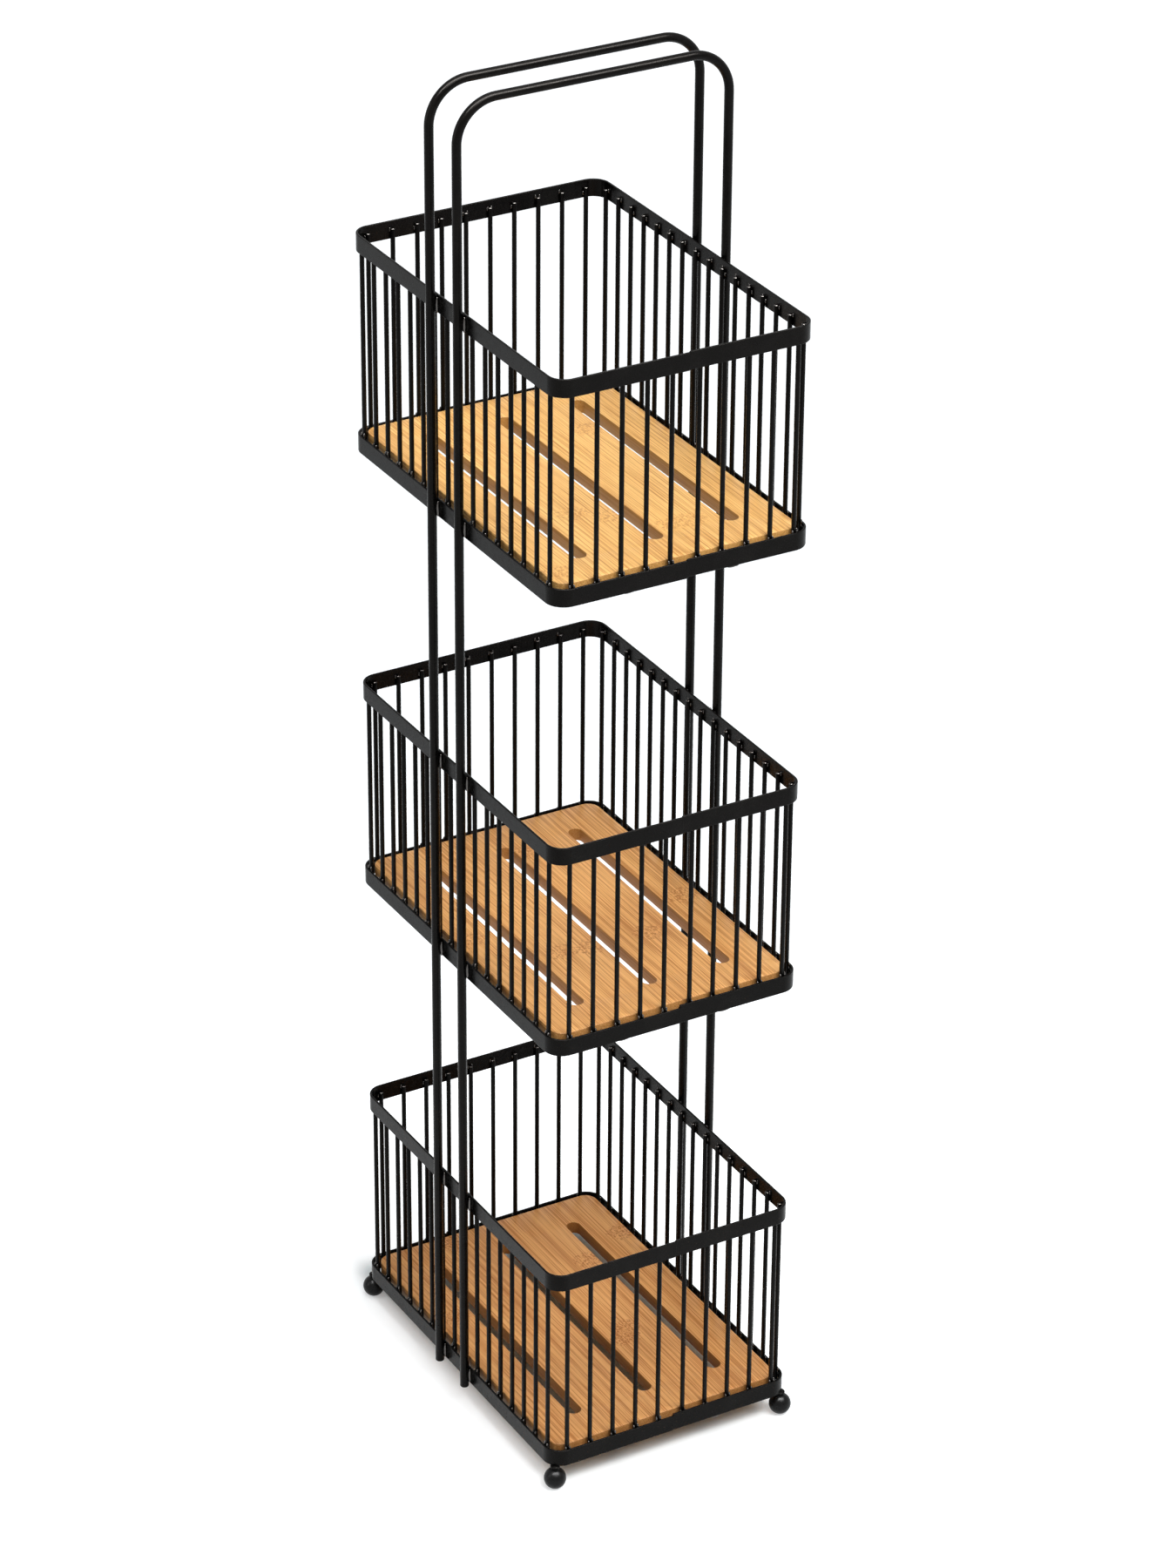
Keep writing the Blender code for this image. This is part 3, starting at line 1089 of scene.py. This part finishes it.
@dataclass
class Foot:
    """A ball foot with its neck ring, on a stud under one corner of the lowest strip."""

    corner: Corner
    gloss: Finish
    coat: Finish
    # Radius of the flat that the ball stands on.
    flat_radius: float = 0.002
    neck_radius: float = 0.0031
    neck_height: float = 0.0007
    neck_rounding: float = 0.0002
    collar_radius: float = 0.0032
    collar_height: float = 0.0012
    collar_rounding: float = 0.00025
    stud_radius: float = 0.0020
    # Edges of the stud that turn by more than this, in radians, are rounded.
    sharp: float = 1.2
    weld_size: Point = (0.0062, 0.0062, 0.0014)

    def __post_init__(self) -> None:
        """Takes the ball's size and place from its CAD node."""
        low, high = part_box(f"foot_ball_{self.corner.value}")
        self.radius = (high.x - low.x) / 2
        self.middle = (low + high) / 2

    def build(self) -> None:
        """Turns the ball and the stud."""
        self.build_ball()
        self.build_stud()

    def build_ball(self) -> None:
        """The ball, cut flat where it stands, with a small neck ring on top."""
        centre_z = math.sqrt(self.radius**2 - self.flat_radius**2)
        bpy.ops.mesh.primitive_uv_sphere_add(
            segments=40, ring_count=26, radius=self.radius,
            location=(self.middle.x, self.middle.y, centre_z),
        )
        piece = adopt(f"ball_{self.corner.value}")
        neck_z = centre_z + math.sqrt(self.radius**2 - self.neck_radius**2)
        with editing(piece):
            for height, sign in ((0.0, 1.0), (neck_z, -1.0)):
                bpy.ops.mesh.select_all(action="SELECT")
                bpy.ops.mesh.bisect(
                    plane_co=(0.0, 0.0, height), plane_no=(0.0, 0.0, sign),
                    use_fill=True, clear_inner=True, threshold=CUT_TOLERANCE,
                )
            bpy.ops.mesh.select_all(action="SELECT")
            bpy.ops.mesh.normals_make_consistent(inside=False)
            pick(piece, Element.FACE, lambda face: len(face.verts) > 8 and face.normal.z > FACING)
            bpy.ops.mesh.inset(thickness=self.neck_rounding)
            extrude((0.0, 0.0, self.neck_height))
            bevel(self.neck_rounding, 2)
        smooth(piece, 40.0)
        dress(piece, self.gloss)
        hand_over(piece, "frame", "foot_black", f"foot_ball_{self.corner.value}")

    def build_stud(self) -> None:
        """The stud's collar under the strip, its shank and the weld round it."""
        node = f"foot_stud_{self.corner.value}"
        low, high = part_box(node)
        collar_low = high.z - self.collar_height
        bpy.ops.mesh.primitive_cylinder_add(
            vertices=32, radius=self.collar_radius, depth=high.z - collar_low,
            location=(self.middle.x, self.middle.y, (high.z + collar_low) / 2),
        )
        piece = adopt(f"stud_{self.corner.value}")
        with editing(piece):
            pick(piece, Element.FACE, lambda face: face.normal.z < -FACING)
            bpy.ops.mesh.inset(thickness=self.collar_radius - self.stud_radius)
            extrude((0.0, 0.0, low.z - collar_low))
            pick(piece, Element.EDGE, lambda edge: edge.calc_face_angle(0.0) > self.sharp)
            bevel(self.collar_rounding, 2)
        bead = Bead(self.weld_size, 41, 0.10, 14, 7).build()
        weld = copied(bead, (self.middle.x, self.middle.y, high.z))
        piece = gathered([piece, weld], [bead], piece.name)
        smooth(piece, 50.0)
        finish(piece, self.coat, node)


@dataclass
class Caddy:
    """The whole caddy, from its feet to the bars of its handle."""

    coat: PowderCoat = PowderCoat()
    weld_coat: PowderCoat = PowderCoat(
        "coat_on_welds_and_tips", smoothest=0.10, roughest=0.18, shine=1.0
    )
    gloss: GlossBlack = GlossBlack()
    # How far each board's random strips are from those of the board below.
    seed_step: float = 7.0

    # The three boards are not quite of one tone: the lower ones are redder. Their tones also hold
    # painted shade and light: the lower boards are painted darker, as in the shade of the baskets
    # above them, and the top one lighter, against the shadow of the handle.
    board_tones_and_shade = {
        Tier.TOP: (0.82, 0.455, 0.139), Tier.MIDDLE: (0.773, 0.391, 0.125),
        Tier.BOTTOM: (0.673, 0.318, 0.099),
    }
    # How dark the planed nodes show on each board.
    mark_strengths = {Tier.TOP: 0.55, Tier.MIDDLE: 0.80, Tier.BOTTOM: 0.90}
    # Middles of the planed nodes on each board, in metres from its centre.
    node_marks = {
        Tier.TOP: ((0.0415, 0.058), (-0.029, -0.044), (-0.0095, -0.058), (0.018, -0.086),
                   (0.031, -0.087), (-0.077, -0.110), (-0.052, 0.070)),
        Tier.MIDDLE: ((-0.031, -0.038), (-0.011, -0.040), (0.030, -0.043), (0.074, -0.012),
                      (-0.077, 0.004), (0.011, 0.088)),
        Tier.BOTTOM: ((0.043, 0.054), (0.0245, -0.030), (0.018, -0.040), (0.080, 0.073),
                      (-0.030, 0.118), (-0.071, 0.037)),
    }

    def build(self) -> None:
        """Builds every sub-assembly in order."""
        coat = self.coat.make()
        weld_coat = self.weld_coat.make()
        for tier in Tier:
            Basket(tier, coat, weld_coat).build()
            Board(tier, [self.bamboo(tier, cut).make() for cut in Cut]).build()
        strips = self.strip_faces()
        for node in ("front_hoop", "rear_hoop"):
            hoop = Hoop(node, coat, weld_coat)
            hoop.build()
            hoop.build_welds(strips)
        gloss = self.gloss.make()
        for corner in Corner:
            Foot(corner, gloss, coat).build()

    def bamboo(self, tier: Tier, cut: Cut) -> Bamboo:
        """The bamboo of one kind of surface of a board, with nodes on its faces only."""
        return Bamboo(
            tier.value, cut, self.board_tones_and_shade[tier],
            node_marks=self.node_marks[tier] if cut is Cut.FACE else (),
            seed=self.seed_step * list(Tier).index(tier),
            mark_strength=self.mark_strengths[tier],
        )

    @staticmethod
    def strip_faces() -> list[Span]:
        """Middle height and outer X of every strip that the hoops are welded to.

        Returns:
            The height and the X, two strips for each tier.
        """
        found = []
        for tier in Tier:
            low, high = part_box(f"{tier.value}_base_band")
            found.append(((low.z + high.z) / 2, high.x))
            _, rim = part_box(f"{tier.value}_wire_cage")
            found.append((rim.z - (high.z - low.z) / 2, rim.x))
        return found


# --- Studio ---


@dataclass(frozen=True)
class Lamp:
    """A soft rectangular lamp that aims at a point."""

    name: str
    place: Point
    aim: Point
    size: Span
    watts: float
    only_reflected: bool = False

    def make(self) -> None:
        """Hangs the lamp."""
        light = bpy.data.lights.new(self.name, "AREA")
        light.shape = "RECTANGLE"
        light.size, light.size_y = self.size
        light.energy = self.watts
        lamp = bpy.data.objects.new(self.name, light)
        lamp.location = self.place
        lamp.visible_diffuse = not self.only_reflected
        way = Vector(self.aim) - Vector(self.place)
        lamp.rotation_euler = way.to_track_quat("-Z", "Y").to_euler()
        bpy.context.scene.collection.objects.link(lamp)


@dataclass(frozen=True)
class Studio:
    """A white floor, an even sky, softboxes above and one lamp that only glints show."""

    floor_size: float = 40.0
    floor_roughness: float = 0.9
    sky: float = 0.32
    # Half the size of the block round which the floor's rings and its painted shade are laid, and
    # its middle, a little behind the caddy's, so that they reach further back.
    core: Point = (0.0700, 0.1315, 0.0)
    core_middle: Point = (0.0, 0.020, 0.0)
    core_edge: float = 0.026
    # Where each ring of the floor starts and ends round the core, and how much it glows
    # more than the one before it, to the camera and in reflections only. This glow is painted
    # light:
    # it is least round the core, which leaves a painted shadow about the caddy, and its dip
    # further out dims the floor in the coat's reflections.
    lifts: tuple[Point, ...] = (
        (0.0, 0.026, 0.50), (0.026, 0.07, 0.14), (0.10, 0.50, -0.30), (0.9, 2.8, 0.30),
        (2.8, 6.0, 0.25),
    )
    floor_colour: Colour = (0.88, 0.92, 0.945, 1.0)
    # Painted shade: the floor's colour under the caddy and a little behind it.
    painted_shade_colour: Colour = (0.66, 0.74, 0.76, 1.0)
    lens: float = 122.3
    sensor: float = 36.0
    eye: Point = (-1.4925, -2.6206, 2.1025)
    turn: Point = (61.2, -0.332, -29.621)
    lamps: tuple[Lamp, ...] = (
        Lamp("key_softbox", (0.45, -1.75, 2.75), (0.0, 0.0, 0.4), (2.2, 0.9), 76.0),
        Lamp("top_softbox", (0.1, 0.0, 2.9), (0.0, 0.0, 0.4), (1.7, 1.7), 20.0),
        Lamp("left_softbox", (-2.4, 0.5, 1.3), (0.0, 0.0, 0.5), (0.6, 1.6), 10.0),
        Lamp("glint_softbox", (-0.2, -0.8, 2.8), (0.0, 0.0, 0.8), (3.0, 0.6), 260.0, True),
    )

    def build(self) -> None:
        """Sets up everything round the caddy."""
        self.build_floor()
        self.build_sky()
        for lamp in self.lamps:
            lamp.make()
        self.build_camera()
        bpy.context.scene.view_settings.view_transform = "Standard"

    def build_floor(self) -> None:
        """A white floor that clears to pure white, but for the caddy's shadow, partly real and
        partly painted.

        It is painted greyer under the caddy and a little behind it, as painted shade that also
        cools the boards' warm light that falls there. Its back is clear, so that the underside of
        the caddy can be seen.
        """
        deselect_all()
        bpy.ops.mesh.primitive_plane_add(size=self.floor_size)
        floor = adopt("studio_floor")
        paper = Shader("studio_white")
        aside = paper.vector("ABSOLUTE", paper.vector("SUBTRACT", paper.point, self.core_middle))
        outside = paper.vector("SUBTRACT", aside, self.core)
        reach = paper.vector("LENGTH", paper.vector("MAXIMUM", outside, (0.0, 0.0, 0.0)))
        outer = paper.ramp(reach, 0.0, self.core_edge)
        # Painted light: the floor's glow, least round the caddy, which paints its shadow there.
        glow: object = 0.0
        for near, far, rise in self.lifts:
            glow = paper.math("ADD", glow, paper.ramp(reach, near, far, 0.0, rise))
        # Painted shade: the floor's colour turns grey round the core.
        paper.set(
            Base_Color=paper.blend(outer, self.painted_shade_colour, self.floor_colour),
            Roughness=self.floor_roughness, Specular_IOR_Level=0.0, Emission_Color=WHITE,
            Emission_Strength=paper.math("MULTIPLY", paper.seen(), glow),
        )
        side = paper.add("ShaderNodeNewGeometry").outputs["Backfacing"]
        clear = paper.add("ShaderNodeBsdfTransparent").outputs[0]
        mix = paper.add("ShaderNodeMixShader", {0: side, 1: paper.surface.outputs[0], 2: clear})
        paper.feed(paper.tree.nodes["Material Output"].inputs["Surface"], mix.outputs[0])
        dress(floor, paper.material)

    def build_sky(self) -> None:
        """Even light from all round, which is plain white where it is seen."""
        world = bpy.data.worlds.new("studio")
        bpy.context.scene.world = world
        world.use_nodes = True
        graph = Graph(world.node_tree)
        level = graph.add("ShaderNodeMapRange", {0: graph.seen(), 3: self.sky, 4: 1.0})
        sky = graph.tree.nodes["Background"].inputs
        graph.feed(sky["Color"], WHITE)
        graph.feed(sky["Strength"], level.outputs[0])

    def build_camera(self) -> None:
        """The camera at the photograph's angle, with the long side on its sensor."""
        data = bpy.data.cameras.new("camera")
        data.lens = self.lens
        data.sensor_width = self.sensor
        data.sensor_fit = "AUTO"
        camera = bpy.data.objects.new("camera", data)
        camera.location = self.eye
        camera.rotation_euler = [math.radians(angle) for angle in self.turn]
        bpy.context.scene.collection.objects.link(camera)
        bpy.context.scene.camera = camera


def main() -> None:
    """Dresses the caddy and sets up the studio."""
    logging.basicConfig(level=logging.INFO, format="%(name)s: %(message)s")
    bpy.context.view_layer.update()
    deselect_all()
    Caddy().build()
    Studio().build()


if __name__ == "__main__":
    main()
